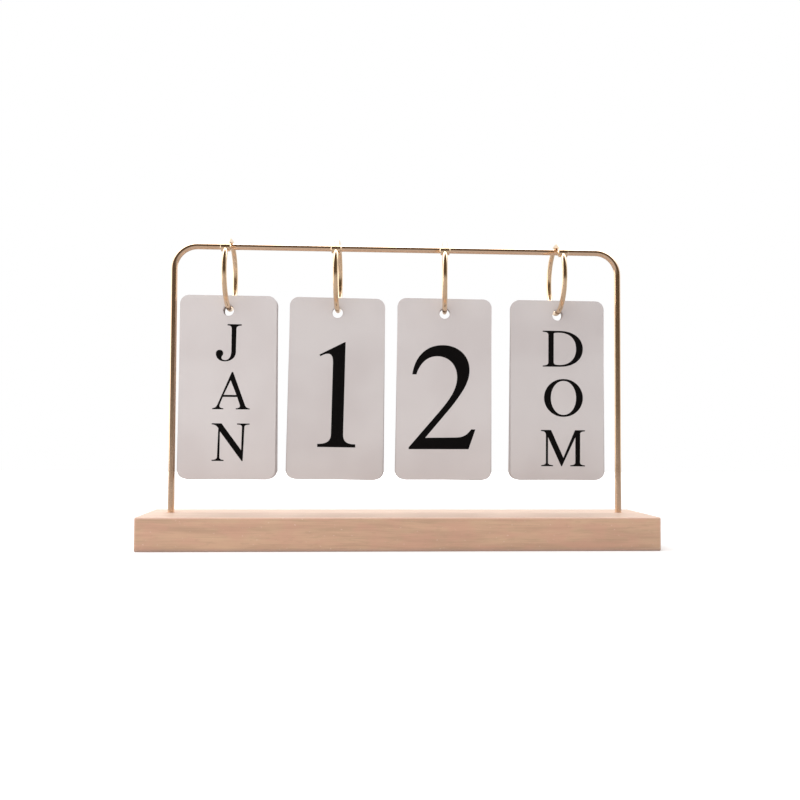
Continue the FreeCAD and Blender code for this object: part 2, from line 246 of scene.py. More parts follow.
class Effects:
    """The shared effects. Each is built once and placed in as many materials as need it."""

    def __init__(self) -> None:
        """Start with no effect built."""
        self.built: dict[Effect, bpy.types.NodeTree] = {}

    def group(self, effect: Effect, inputs: dict[str, Value],
              outputs: Iterable[str]) -> tuple[Nodes, dict[str, Socket], bpy.types.Node]:
        """Start a node group.

        Args:
            effect: The effect it is for.
            inputs: The inputs with their usual values. Three numbers make a vector input.
            outputs: The names of the outputs, all numbers.

        Returns:
            The group's nodes, its inputs by name, and its output node.
        """
        tree = bpy.data.node_groups.new(effect.value, "ShaderNodeTree")
        for name, value in inputs.items():
            kind = "NodeSocketFloat" if isinstance(value, float) else "NodeSocketVector"
            tree.interface.new_socket(name, in_out="INPUT", socket_type=kind).default_value = value
        for name in outputs:
            tree.interface.new_socket(name, in_out="OUTPUT", socket_type="NodeSocketFloat")
        nodes = Nodes(tree)
        entry = nodes.add("NodeGroupInput")
        self.built[effect] = tree
        return nodes, {name: entry.outputs[name] for name in inputs}, nodes.add("NodeGroupOutput")

    def grain(self) -> None:
        """Build the grain of a plank whose fibres run along X."""
        nodes, given, out = self.group(
            Effect.GRAIN,
            {"Vector": (0.0, 0.0, 0.0), "Along": 16.0, "Across": 190.0, "Ring Spacing": 0.0045},
            ("Streaks", "Rings", "Pores", "Flecks", "Height"))
        warp_scale, fleck_scale = (7.0, 22.0, 22.0), (520.0, 900.0, 900.0)
        fine_stretch, pore_stretch = (3.0, 7.0, 7.0), (14.0, 5.0, 5.0)
        fibre_bend, heart_behind, heart_below = 2.4, 0.09, 0.15
        pore_band, fleck_band = (0.60, 0.70), (0.69, 0.79)
        x, y, z = nodes.split(given["Vector"])
        warp = nodes.noise(nodes.vector("MULTIPLY", given["Vector"], warp_scale), 1.0, detail=2.0)
        bend = nodes.math("MULTIPLY", warp, fibre_bend)
        fibre = nodes.join(nodes.math("MULTIPLY", x, given["Along"]),
                           nodes.math("MULTIPLY", y, given["Across"]),
                           nodes.math("MULTIPLY_ADD", z, given["Across"], bend))
        streaks = nodes.noise(fibre, 1.0, detail=6.0, roughness=0.62)
        fine = nodes.noise(nodes.vector("MULTIPLY", fibre, fine_stretch), 1.0, detail=3.0, roughness=0.6)
        from_heart = nodes.join(0.0, nodes.math("ADD", y, heart_behind), nodes.math("ADD", z, heart_below))
        turns = nodes.math("DIVIDE", nodes.vector("LENGTH", from_heart), given["Ring Spacing"])
        wave = nodes.math("SINE", nodes.math("MULTIPLY", nodes.math("ADD", turns, warp), math.tau))
        short = nodes.noise(nodes.vector("MULTIPLY", fibre, pore_stretch), 1.0, detail=2.0, roughness=0.4)
        pores = nodes.step(short, *pore_band)
        dots = nodes.noise(nodes.vector("MULTIPLY", given["Vector"], fleck_scale), 1.0, 1.0, roughness=0.3)
        raised = nodes.math("MULTIPLY_ADD", fine, 0.5, nodes.math("MULTIPLY", streaks, 0.4))
        nodes.fill(out, {
            "Streaks": nodes.math("MULTIPLY_ADD", fine, 0.35, nodes.math("MULTIPLY", streaks, 0.65)),
            "Rings": nodes.math("MULTIPLY_ADD", wave, 0.5, 0.5),
            "Pores": pores,
            "Flecks": nodes.step(dots, *fleck_band),
            "Height": nodes.math("SUBTRACT", raised, nodes.math("MULTIPLY", pores, 0.5)),
        })

    def edge(self) -> None:
        """Build the mask of a piece's edges, from its place in its own box and the box's size."""
        nodes, given, out = self.group(
            Effect.EDGE, {"Place": (0.0, 0.0, 0.0), "Vector": (0.0, 0.0, 0.0), "Size": (1.0, 1.0, 1.0),
                          "Width": 0.001, "Breakup": 0.5}, ("Edge",))
        middle, chips_per_metre, least_reach = (0.5, 0.5, 0.5), 400.0, 0.7
        half = nodes.vector("ABSOLUTE", nodes.vector("SUBTRACT", given["Place"], middle))
        inside = nodes.vector("MULTIPLY", nodes.vector("SUBTRACT", middle, half), given["Size"])
        x, y, z = nodes.split(inside)
        low = nodes.math("MINIMUM", x, y)
        second = nodes.math("MAXIMUM", low, nodes.math("MINIMUM", nodes.math("MAXIMUM", x, y), z))
        chips = nodes.noise(given["Vector"], chips_per_metre)
        ragged = nodes.math("MULTIPLY", chips, given["Breakup"])
        reach = nodes.math("MULTIPLY", given["Width"], nodes.math("ADD", ragged, least_reach))
        nodes.set(out.inputs["Edge"], nodes.step(second, 0.0, reach, 1.0, 0.0))

    def polish(self) -> None:
        """Build the marks on polished metal: hairline marks, smears and a little tarnish."""
        nodes, given, out = self.group(
            Effect.POLISH, {"Vector": (0.0, 0.0, 0.0), "Scale": 700.0}, ("Marks", "Tarnish", "Height"))
        smears_per_mark, spots_per_metre, tarnish_band = 0.08, 45.0, (0.48, 0.75)
        fine = nodes.noise(given["Vector"], given["Scale"], detail=5.0, roughness=0.65)
        smear = nodes.noise(given["Vector"], nodes.math("MULTIPLY", given["Scale"], smears_per_mark))
        dull = nodes.noise(given["Vector"], spots_per_metre, detail=4.0, roughness=0.6)
        nodes.fill(out, {
            "Marks": nodes.math("MULTIPLY_ADD", fine, 0.6, nodes.math("MULTIPLY", smear, 0.4)),
            "Tarnish": nodes.step(dull, *tarnish_band),
            "Height": fine,
        })

    def fibre(self) -> None:
        """Build the tone and tooth of uncoated card stock."""
        nodes, given, out = self.group(Effect.FIBRE, {"Vector": (0.0, 0.0, 0.0), "Scale": 1500.0},
                                       ("Tone", "Cloud", "Height"))
        clouds_per_metre, bow_to_tooth = 22.0, 6.0
        tone = nodes.noise(given["Vector"], given["Scale"], detail=4.0, roughness=0.7)
        cloud = nodes.noise(given["Vector"], clouds_per_metre, detail=2.0, roughness=0.45)
        bow = nodes.math("MULTIPLY", cloud, bow_to_tooth)
        nodes.fill(out, {"Tone": tone, "Cloud": cloud, "Height": nodes.math("ADD", tone, bow)})

    def hole(self) -> None:
        """Build the mask of the rim round a punched hole, which wear and painted shade darken."""
        nodes, given, out = self.group(
            Effect.HOLE,
            {"Vector": (0.0, 0.0, 0.0), "Centre": (0.0, 0.0, 0.0), "Radius": 0.003, "Width": 0.0012},
            ("Rim",))
        from_centre = nodes.vector("SUBTRACT", given["Vector"], given["Centre"])
        flat = nodes.vector("MULTIPLY", from_centre, (1.0, 0.0, 1.0))
        past = nodes.math("SUBTRACT", nodes.vector("LENGTH", flat), given["Radius"])
        nodes.set(out.inputs["Rim"], nodes.step(past, 0.0, given["Width"], 1.0, 0.0))

    def dust(self) -> None:
        """Build the mask of dust on surfaces that face up."""
        nodes, given, out = self.group(Effect.DUST, {"Vector": (0.0, 0.0, 0.0), "Amount": 0.2}, ("Dust",))
        up = nodes.split(nodes.add("ShaderNodeNewGeometry").outputs["Normal"])[2]
        specks_per_metre, speck_band, upward_band = 900.0, (0.35, 0.75), (0.3, 1.0)
        specks = nodes.noise(given["Vector"], specks_per_metre, detail=4.0, roughness=0.7)
        lying = nodes.math("MULTIPLY", nodes.step(up, *upward_band), nodes.step(specks, *speck_band))
        nodes.set(out.inputs["Dust"], nodes.math("MULTIPLY", lying, given["Amount"]))

    def place(self, nodes: Nodes, effect: Effect, **inputs: Value) -> bpy.types.Node:
        """Place an effect in a material.

        Args:
            nodes: The material's nodes.
            effect: The effect to place.
            **inputs: Values or links for its inputs, with _ for a space.

        Returns:
            The group's node in the material.
        """
        if effect not in self.built:
            getattr(self, effect.name.lower())()
        node = nodes.add("ShaderNodeGroup", node_tree=self.built[effect])
        nodes.fill(node, {key.replace("_", " "): value for key, value in inputs.items()})
        return node


def new_material(name: str) -> tuple[bpy.types.Material, Nodes, bpy.types.Node]:
    """Make an empty material.

    Args:
        name: Its name.

    Returns:
        The material, its nodes, and its one shader.
    """
    material = bpy.data.materials.new(name)
    material.use_nodes = True
    nodes = Nodes(material.node_tree)
    material.node_tree.nodes.clear()
    shader = nodes.add("ShaderNodeBsdfPrincipled")
    nodes.add("ShaderNodeOutputMaterial", {"Surface": shader.outputs["BSDF"]})
    return material, nodes, shader


@dataclass(frozen=True)
class WoodFinish:
    """Pale wood, sanded and left without varnish."""

    name: str = "plank_wood"
    light: Colour = (0.655, 0.428, 0.278)
    dark: Colour = (0.505, 0.318, 0.212)
    rosy: Colour = (0.625, 0.345, 0.248)
    fleck: Colour = (0.80, 0.62, 0.49)
    # Colour of worn edges, and of the painted highlight along the top edge.
    worn_and_highlit: Colour = (0.84, 0.575, 0.465)
    # Colour of the painted contact shade along the bottom, where the plank meets the floor.
    painted_contact_shade: Colour = (0.42, 0.285, 0.235)
    # Colour of the painted sheen of light on the upward faces.
    painted_top_sheen: Colour = (0.755, 0.585, 0.48)
    dust: Colour = (0.80, 0.74, 0.70)
    dust_amount: float = 0.10
    streak_band: Band = (0.36, 0.64)
    rings_show: float = 0.22
    blotches_show: float = 0.50
    blotches_per_metre: float = 55.0
    blotch_stretch: tuple[float, float, float] = (1.0, 2.4, 2.4)
    blotch_band: Band = (0.42, 0.62)
    pores_show: float = 0.30
    flecks_show: float = 0.55
    painted_top_sheen_shows: float = 0.62
    upward_band: Band = (0.5, 0.95)
    painted_contact_shade_shows: float = 0.60
    rubbing_least: float = 0.30
    top_highlight_most: float = 0.80
    roughness: float = 0.52
    roughness_spread: float = 0.12
    relief_shows: float = 0.7
    relief: float = 0.06 * MM
    refraction: float = 1.46
    edge_width: float = 1.4 * MM
    soiled_up_to: float = 2.6 * MM
    # Where the painted highlight along the top edge starts and where it is full, below the top.
    top_highlight_from: float = 1.9 * MM
    rubbed_to: float = 0.6 * MM

    def material(self, effects: Effects, size: Vector) -> bpy.types.Material:
        """Make the material.

        Args:
            effects: The shared effects.
            size: The plank's length, depth and thickness.

        Returns:
            The material.
        """
        material, nodes, shader = new_material(self.name)
        spots = nodes.add("ShaderNodeTexCoord")
        place = spots.outputs["Object"]
        height = nodes.split(place)[2]
        grain = effects.place(nodes, Effect.GRAIN, Vector=place).outputs
        edge = effects.place(nodes, Effect.EDGE, Place=spots.outputs["Generated"], Vector=place, Size=size,
                             Width=self.edge_width).outputs["Edge"]
        dust = effects.place(nodes, Effect.DUST, Vector=place, Amount=self.dust_amount).outputs["Dust"]
        streaks = nodes.step(grain["Streaks"], *self.streak_band)
        blotches = nodes.noise(nodes.vector("MULTIPLY", place, self.blotch_stretch), self.blotches_per_metre)
        # Painted highlight: the edge colour shows most near the top, as if light caught the top edge's
        # rounding; lower edges show wear only.
        wear_and_top_highlight = nodes.step(height, size.z - self.top_highlight_from, size.z - self.rubbed_to,
                            self.rubbing_least, self.top_highlight_most)
        up = nodes.split(nodes.add("ShaderNodeNewGeometry").outputs["Normal"])[2]
        tone = nodes.layers(self.light, (
            (streaks, self.dark),
            (nodes.math("MULTIPLY", grain["Rings"], self.rings_show), self.rosy),
            (nodes.step(blotches, *self.blotch_band, 0.0, self.blotches_show), self.rosy),
            (nodes.math("MULTIPLY", grain["Pores"], self.pores_show), self.dark),
            (nodes.math("MULTIPLY", grain["Flecks"], self.flecks_show), self.fleck),
            # Worn edges, and a painted highlight along the top edge.
            (nodes.math("MULTIPLY", edge, wear_and_top_highlight), self.worn_and_highlit),
            # Painted sheen: the upward faces are lighter, as light falls on the top.
            (nodes.step(up, *self.upward_band, 0.0, self.painted_top_sheen_shows), self.painted_top_sheen),
            # Painted contact shade: darker towards the bottom, where the plank sits on the floor.
            (nodes.step(height, 0.0, self.soiled_up_to, self.painted_contact_shade_shows, 0.0), self.painted_contact_shade),
            (dust, self.dust)))
        smoothest = self.roughness - self.roughness_spread / 2
        nodes.fill(shader, {
            "Base Color": tone,
            "Roughness": nodes.math("MULTIPLY_ADD", streaks, self.roughness_spread, smoothest),
            "Normal": nodes.bump(self.relief_shows, self.relief, grain["Height"]),
            "IOR": self.refraction,
        })
        return material


@dataclass(frozen=True)
class BrassFinish:
    """Brass-coloured plating, polished, with hairline marks."""

    name: str
    bright: Colour
    tarnished: Colour
    roughness: float = 0.13
    marks_per_metre: float = 700.0
    mark_band: Band = (0.30, 0.75)
    tarnish_shows: float = 0.55
    scuffing: float = 0.10
    relief_shows: float = 0.25
    relief: float = 0.01 * MM
    dust: Colour = (0.82, 0.78, 0.72)
    dust_amount: float = 0.05

    def material(self, effects: Effects) -> bpy.types.Material:
        """Make the material.

        Args:
            effects: The shared effects.

        Returns:
            The material.
        """
        material, nodes, shader = new_material(self.name)
        place = nodes.add("ShaderNodeTexCoord").outputs["Object"]
        polish = effects.place(nodes, Effect.POLISH, Vector=place, Scale=self.marks_per_metre).outputs
        dust = effects.place(nodes, Effect.DUST, Vector=place, Amount=self.dust_amount).outputs["Dust"]
        scuffed = self.roughness + self.scuffing
        nodes.fill(shader, {
            "Base Color": nodes.layers(self.bright, (
                (nodes.math("MULTIPLY", polish["Tarnish"], self.tarnish_shows), self.tarnished),
                (dust, self.dust))),
            "Roughness": nodes.step(polish["Marks"], *self.mark_band, self.roughness, scuffed),
            "Metallic": 1.0,
            "Normal": nodes.bump(self.relief_shows, self.relief, polish["Height"]),
        })
        return material


@dataclass(frozen=True)
class CardFinish:
    """Uncoated pale grey card, with darker cloudy patches of painted shade and a rim of wear and painted
    shade round its punched hole.
    """

    name: str
    pale: Colour
    shaded: Colour
    # Colour of the fibre specks, and of the wear and painted shade round the hole.
    rim: Colour = (0.50, 0.43, 0.41)
    edge: Colour = (0.60, 0.545, 0.53)
    rim_width: float = 0.9 * MM
    edge_width: float = 0.7 * MM
    edge_breakup: float = 0.3
    cloud_band: Band = (0.34, 0.66)
    fibre_shows: float = 0.10
    edge_shows: float = 0.30
    rim_shows: float = 0.35
    roughness: float = 0.66
    roughness_spread: float = 0.14
    relief_shows: float = 0.5
    relief: float = 0.04 * MM
    refraction: float = 1.45

    def material(self, effects: Effects, size: Vector, hole: Vector, radius: float) -> bpy.types.Material:
        """Make the material.

        Args:
            effects: The shared effects.
            size: The card's width, thickness and height.
            hole: The centre of its punched hole.
            radius: The hole's radius.

        Returns:
            The material.
        """
        material, nodes, shader = new_material(self.name)
        spots = nodes.add("ShaderNodeTexCoord")
        place = spots.outputs["Object"]
        fibre = effects.place(nodes, Effect.FIBRE, Vector=place).outputs
        edge = effects.place(nodes, Effect.EDGE, Place=spots.outputs["Generated"], Vector=place, Size=size,
                             Width=self.edge_width, Breakup=self.edge_breakup).outputs["Edge"]
        rim = effects.place(nodes, Effect.HOLE, Vector=place, Centre=hole, Radius=radius,
                            Width=self.rim_width).outputs["Rim"]
        nodes.fill(shader, {
            "Base Color": nodes.layers(self.pale, (
                # Painted shade: darker cloudy patches, as on a slightly warped card.
                (nodes.step(fibre["Cloud"], *self.cloud_band), self.shaded),
                (nodes.math("MULTIPLY", fibre["Tone"], self.fibre_shows), self.rim),
                (nodes.math("MULTIPLY", edge, self.edge_shows), self.edge),
                # Wear and painted shade of the ring darken the rim round the hole.
                (nodes.math("MULTIPLY", rim, self.rim_shows), self.rim))),
            "Roughness": nodes.math("MULTIPLY_ADD", fibre["Tone"], self.roughness_spread, self.roughness),
            "Normal": nodes.bump(self.relief_shows, self.relief, fibre["Height"]),
            "IOR": self.refraction,
        })
        return material


@dataclass(frozen=True)
class InkFinish:
    """Near-black printing ink that has soaked into the card."""

    name: str = "print_ink"
    full: Colour = (0.0032, 0.0026, 0.0026)
    thin: Colour = (0.012, 0.010, 0.0095)
    fibres_per_metre: float = 2200.0
    fibre_band: Band = (0.45, 0.85)
    roughness: float = 0.68
    roughness_spread: float = 0.16
    relief_shows: float = 0.3
    relief: float = 0.02 * MM
    gloss: float = 0.08

    def material(self, effects: Effects) -> bpy.types.Material:
        """Make the material.

        Args:
            effects: The shared effects.

        Returns:
            The material.
        """
        material, nodes, shader = new_material(self.name)
        place = nodes.add("ShaderNodeTexCoord").outputs["Object"]
        fibre = effects.place(nodes, Effect.FIBRE, Vector=place, Scale=self.fibres_per_metre).outputs["Tone"]
        nodes.fill(shader, {
            "Base Color": nodes.mix(nodes.step(fibre, *self.fibre_band), self.full, self.thin),
            "Roughness": nodes.math("MULTIPLY_ADD", fibre, self.roughness_spread, self.roughness),
            "Normal": nodes.bump(self.relief_shows, self.relief, fibre),
            "Specular IOR Level": self.gloss,
        })
        return material


def cad(node: str) -> bpy.types.Object:
    """Return the object of a CAD node."""
    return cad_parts[node]


def dress(piece: bpy.types.Object, material: bpy.types.Material) -> None:
    """Give a piece one material.

    Args:
        piece: The piece.
        material: What all of its material slots get.
    """
    if not piece.material_slots:
        piece.data.materials.append(None)
    for slot in piece.material_slots:
        slot.link = "OBJECT"
        slot.material = material
    log.info("%s: %s", piece.name, material.name)


# Outlines of the printed characters, in cap heights, from the left end of the baseline. Two numbers are a
# straight run to a point. Six are a curve: its two handles and then its end. Each outline closes on its
# start.
GLYPHS: dict[str, tuple[tuple[tuple[float, ...], ...], ...]] = {
    "J": (((0.30, 1.0), (0.675, 1.0), (0.675, 0.965), (0.60, 0.962, 0.54, 0.95, 0.537, 0.88), (0.530, 0.26),
           (0.53, 0.10, 0.40, 0.0, 0.235, 0.0), (0.09, 0.0, 0.0, 0.09, 0.0, 0.21),
           (0.0, 0.275, 0.045, 0.31, 0.10, 0.31), (0.155, 0.31, 0.195, 0.265, 0.195, 0.215),
           (0.195, 0.17, 0.155, 0.15, 0.15, 0.115), (0.145, 0.07, 0.18, 0.035, 0.245, 0.035),
           (0.35, 0.035, 0.405, 0.13, 0.408, 0.28), (0.41, 0.88), (0.408, 0.95, 0.37, 0.962, 0.30, 0.965)),),
    "A": (((0.505, 1.0), (0.54, 1.0), (0.865, 0.115), (0.885, 0.06, 0.93, 0.03, 0.99, 0.03), (0.99, 0.0),
           (0.622, 0.0), (0.622, 0.03), (0.70, 0.032, 0.745, 0.055, 0.725, 0.125), (0.655, 0.33),
           (0.275, 0.33), (0.195, 0.125), (0.175, 0.06, 0.215, 0.032, 0.293, 0.03), (0.293, 0.0),
           (0.0, 0.0), (0.0, 0.03), (0.07, 0.035, 0.105, 0.06, 0.135, 0.125)),
          ((0.478, 0.775), (0.298, 0.385), (0.635, 0.385))),
    "N": (((0.0, 1.0), (0.26, 1.0), (0.785, 0.29), (0.80, 0.90), (0.80, 0.955, 0.755, 0.968, 0.67, 0.97),
           (0.67, 1.0), (1.0, 1.0), (1.0, 0.97), (0.91, 0.968, 0.868, 0.955, 0.865, 0.90), (0.83, 0.0),
           (0.80, 0.0), (0.22, 0.785), (0.215, 0.10), (0.215, 0.05, 0.26, 0.032, 0.325, 0.03), (0.325, 0.0),
           (0.01, 0.0), (0.01, 0.03), (0.09, 0.032, 0.145, 0.05, 0.15, 0.10), (0.175, 0.87),
           (0.13, 0.94, 0.08, 0.968, 0.0, 0.97)),),
    "D": (((0.0, 1.0), (0.48, 1.0), (0.87, 1.0, 1.13, 0.80, 1.13, 0.50), (1.13, 0.20, 0.87, 0.0, 0.48, 0.0),
           (0.0, 0.0), (0.0, 0.03), (0.09, 0.035, 0.155, 0.05, 0.16, 0.11), (0.16, 0.89),
           (0.155, 0.95, 0.09, 0.965, 0.0, 0.97)),
          ((0.31, 0.93), (0.34, 0.945, 0.40, 0.95, 0.46, 0.95), (0.75, 0.95, 0.94, 0.79, 0.94, 0.50),
           (0.94, 0.22, 0.75, 0.05, 0.48, 0.05), (0.36, 0.05, 0.31, 0.06, 0.31, 0.13))),
    "O": (((0.545, 1.026), (0.85, 1.026, 1.09, 0.79, 1.09, 0.50), (1.09, 0.21, 0.85, -0.026, 0.545, -0.026),
           (0.24, -0.026, 0.0, 0.21, 0.0, 0.50), (0.0, 0.79, 0.24, 1.026, 0.545, 1.026)),
          ((0.545, 0.972), (0.345, 0.972, 0.19, 0.77, 0.19, 0.50), (0.19, 0.23, 0.345, 0.028, 0.545, 0.028),
           (0.745, 0.028, 0.90, 0.23, 0.90, 0.50), (0.90, 0.77, 0.745, 0.972, 0.545, 0.972))),
    "M": (((0.0, 1.0), (0.285, 1.0), (0.63, 0.235), (0.955, 1.0), (1.235, 1.0), (1.235, 0.97),
           (1.15, 0.965, 1.10, 0.95, 1.10, 0.89), (1.10, 0.11), (1.10, 0.05, 1.15, 0.035, 1.235, 0.03),
           (1.235, 0.0), (0.825, 0.0), (0.825, 0.03), (0.91, 0.035, 0.965, 0.05, 0.965, 0.11), (0.965, 0.80),
           (0.59, 0.0), (0.57, 0.0), (0.20, 0.80), (0.20, 0.10), (0.20, 0.05, 0.25, 0.035, 0.34, 0.03),
           (0.34, 0.0), (0.01, 0.0), (0.01, 0.03), (0.09, 0.035, 0.135, 0.05, 0.14, 0.10), (0.14, 0.87),
           (0.135, 0.95, 0.08, 0.965, 0.0, 0.97)),),
    "F": (((0.0, 1.0), (0.80, 1.0), (0.82, 0.77), (0.785, 0.77), (0.76, 0.92, 0.72, 0.955, 0.58, 0.955),
           (0.30, 0.955), (0.30, 0.54), (0.47, 0.54), (0.56, 0.54, 0.58, 0.56, 0.60, 0.65), (0.635, 0.65),
           (0.635, 0.38), (0.60, 0.38), (0.58, 0.47, 0.56, 0.495, 0.47, 0.495), (0.30, 0.495), (0.30, 0.11),
           (0.30, 0.05, 0.36, 0.03, 0.45, 0.03), (0.45, 0.0), (0.0, 0.0), (0.0, 0.03),
           (0.09, 0.035, 0.155, 0.05, 0.16, 0.11), (0.16, 0.89), (0.155, 0.95, 0.09, 0.965, 0.0, 0.97)),),
    "E": (((0.0, 1.0), (0.80, 1.0), (0.82, 0.77), (0.785, 0.77), (0.76, 0.92, 0.72, 0.955, 0.58, 0.955),
           (0.30, 0.955), (0.30, 0.54), (0.47, 0.54), (0.56, 0.54, 0.58, 0.56, 0.60, 0.65), (0.635, 0.65),
           (0.635, 0.38), (0.60, 0.38), (0.58, 0.47, 0.56, 0.495, 0.47, 0.495), (0.30, 0.495), (0.30, 0.045),
           (0.60, 0.045), (0.74, 0.045, 0.79, 0.09, 0.83, 0.24), (0.865, 0.24), (0.83, 0.0), (0.0, 0.0),
           (0.0, 0.03), (0.09, 0.035, 0.155, 0.05, 0.16, 0.11), (0.16, 0.89),
           (0.155, 0.95, 0.09, 0.965, 0.0, 0.97)),),
    "V": (((0.0, 1.0), (0.37, 1.0), (0.37, 0.97), (0.29, 0.965, 0.25, 0.94, 0.275, 0.87), (0.53, 0.24),
           (0.745, 0.87), (0.77, 0.94, 0.73, 0.965, 0.65, 0.97), (0.65, 1.0), (0.96, 1.0), (0.96, 0.97),
           (0.90, 0.965, 0.85, 0.94, 0.825, 0.88), (0.49, 0.0), (0.46, 0.0), (0.125, 0.88),
           (0.10, 0.94, 0.06, 0.965, 0.0, 0.97)),),
    "S": (((0.535, 1.015), (0.545, 0.70), (0.51, 0.70), (0.48, 0.88, 0.40, 0.975, 0.29, 0.975),
           (0.19, 0.975, 0.13, 0.91, 0.13, 0.83), (0.13, 0.72, 0.22, 0.67, 0.35, 0.60),
           (0.52, 0.51, 0.61, 0.42, 0.61, 0.27), (0.61, 0.10, 0.49, -0.02, 0.31, -0.02),
           (0.22, -0.02, 0.16, 0.02, 0.11, 0.02), (0.08, 0.02, 0.07, 0.0, 0.06, -0.015), (0.03, -0.015),
           (0.0, 0.30), (0.035, 0.30), (0.07, 0.12, 0.17, 0.025, 0.31, 0.025),
           (0.43, 0.025, 0.50, 0.09, 0.50, 0.19), (0.50, 0.30, 0.42, 0.35, 0.28, 0.43),
           (0.12, 0.52, 0.025, 0.60, 0.025, 0.75), (0.025, 0.91, 0.14, 1.02, 0.29, 1.02),
           (0.37, 1.02, 0.42, 0.985, 0.46, 0.985), (0.485, 0.985, 0.495, 1.0, 0.505, 1.015)),),
    "G": (((0.90, 1.01), (0.92, 0.68), (0.885, 0.68), (0.85, 0.87, 0.74, 0.975, 0.58, 0.975),
           (0.34, 0.975, 0.19, 0.78, 0.19, 0.50), (0.19, 0.21, 0.34, 0.025, 0.60, 0.025),
           (0.70, 0.025, 0.78, 0.05, 0.82, 0.085), (0.82, 0.33), (0.82, 0.40, 0.78, 0.415, 0.68, 0.42),
           (0.68, 0.45), (1.05, 0.45), (1.05, 0.42), (0.97, 0.415, 0.95, 0.40, 0.95, 0.33), (0.95, 0.06),
           (0.85, 0.0, 0.72, -0.025, 0.58, -0.025), (0.22, -0.025, 0.0, 0.20, 0.0, 0.49),
           (0.0, 0.80, 0.24, 1.025, 0.57, 1.025), (0.70, 1.025, 0.77, 0.985, 0.82, 0.985),
           (0.845, 0.985, 0.855, 1.0, 0.865, 1.01)),),
    "1": (((0.252, 1.0), (0.243, 0.12), (0.245, 0.05, 0.28, 0.03, 0.36, 0.03), (0.36, 0.0), (0.0, 0.0),
           (0.0, 0.03), (0.08, 0.03, 0.125, 0.05, 0.128, 0.12), (0.135, 0.80),
           (0.135, 0.86, 0.12, 0.885, 0.085, 0.885), (0.06, 0.885, 0.035, 0.87, 0.015, 0.86), (0.005, 0.875),
           (0.245, 1.0)),),
    "2": (((0.028, 0.715), (0.055, 0.90, 0.17, 1.0, 0.322, 1.0), (0.475, 1.0, 0.58, 0.90, 0.58, 0.76),
           (0.58, 0.64, 0.50, 0.53, 0.40, 0.40), (0.158, 0.110), (0.43, 0.115),
           (0.52, 0.117, 0.55, 0.13, 0.60, 0.195), (0.64, 0.195), (0.575, 0.005), (0.0, 0.0), (0.0, 0.018),
           (0.27, 0.335), (0.385, 0.47, 0.458, 0.57, 0.46, 0.69), (0.46, 0.81, 0.38, 0.892, 0.27, 0.892),
           (0.17, 0.892, 0.10, 0.82, 0.068, 0.715)),),
    "3": (((0.02, 0.77), (0.05, 0.92, 0.15, 1.0, 0.28, 1.0), (0.43, 1.0, 0.52, 0.91, 0.52, 0.79),
           (0.52, 0.68, 0.45, 0.60, 0.37, 0.565), (0.50, 0.53, 0.57, 0.43, 0.57, 0.31),
           (0.57, 0.12, 0.42, -0.01, 0.20, -0.01), (0.08, -0.01, 0.0, 0.03, 0.0, 0.08),
           (0.0, 0.12, 0.03, 0.14, 0.065, 0.14), (0.12, 0.14, 0.14, 0.045, 0.23, 0.045),
           (0.36, 0.035, 0.45, 0.13, 0.45, 0.28), (0.45, 0.42, 0.35, 0.51, 0.19, 0.51), (0.15, 0.51),
           (0.15, 0.54), (0.32, 0.56, 0.41, 0.64, 0.41, 0.76), (0.41, 0.86, 0.35, 0.925, 0.25, 0.925),
           (0.16, 0.925, 0.09, 0.87, 0.055, 0.76)),),
}
SAME_POINT = 1e-6


def trace(outline: Sequence[Sequence[float]], steps: int = 14) -> list[Point]:
    """Turn an outline into points.

    Args:
        outline: Straight runs and curves, as GLYPHS has them.
        steps: Points on each curve.

    Returns:
        The points in order. The last one joins the first.
    """
    points: list[Point] = [(outline[0][0], outline[0][1])]
    for part in outline[1:]:
        if len(part) == 2:
            points.append((part[0], part[1]))
            continue
        start, first, second, end = (Vector(pair) for pair in (points[-1], part[0:2], part[2:4], part[4:6]))
        for i in range(1, steps + 1):
            gone = i / steps
            left = 1 - gone
            early = left ** 3 * start + 3 * left ** 2 * gone * first
            late = 3 * left * gone ** 2 * second + gone ** 3 * end
            points.append(tuple(early + late))
    if (Vector(points[0]) - Vector(points[-1])).length < SAME_POINT:
        points.pop()
    return points


@dataclass(frozen=True)
class Character:
    """One printed character on a card."""

    glyph: str
    right: float
    up: float
    height: float

    def width(self) -> float:
        """Return the character's width in cap heights."""
        return max(point[0] for outline in GLYPHS[self.glyph] for point in trace(outline))


@dataclass(frozen=True)
class CardSheet:
    """One card of a pack, read from its CAD node."""

    node: str
    straight_at_least: float = 40 * MM

    def left_edge(self) -> tuple[Vector, Vector]:
        """Return the lower and upper ends of the card's straight left edge."""
        mesh = cad(self.node).data
        spots = [vertex.co for vertex in mesh.vertices]
        long = [(spots[a], spots[b]) for a, b in (edge.vertices for edge in mesh.edges)
                if abs(spots[a].z - spots[b].z) > self.straight_at_least]
        ends = min(long, key=lambda pair: pair[0].x + pair[1].x)
        return (ends[0], ends[1]) if ends[0].z < ends[1].z else (ends[1], ends[0])

    def placing(self, width: float) -> Matrix:
        """Find the middle of the card's front face and how the card leans.

        Args:
            width: The card's width.

        Returns:
            A placement with X to the card's right, Y up the card and Z out of its front.
        """
        low, high = self.left_edge()
        up = Vector((high.x - low.x, 0, high.z - low.z)).normalized()
        right = Vector((up.z, 0, -up.x))
        middle = (low + high) / 2 + right * width / 2
        middle.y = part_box(self.node)[0].y
        turned = Matrix((right, up, Vector((0, -1, 0)))).transposed().to_4x4()
        return Matrix.Translation(middle) @ turned


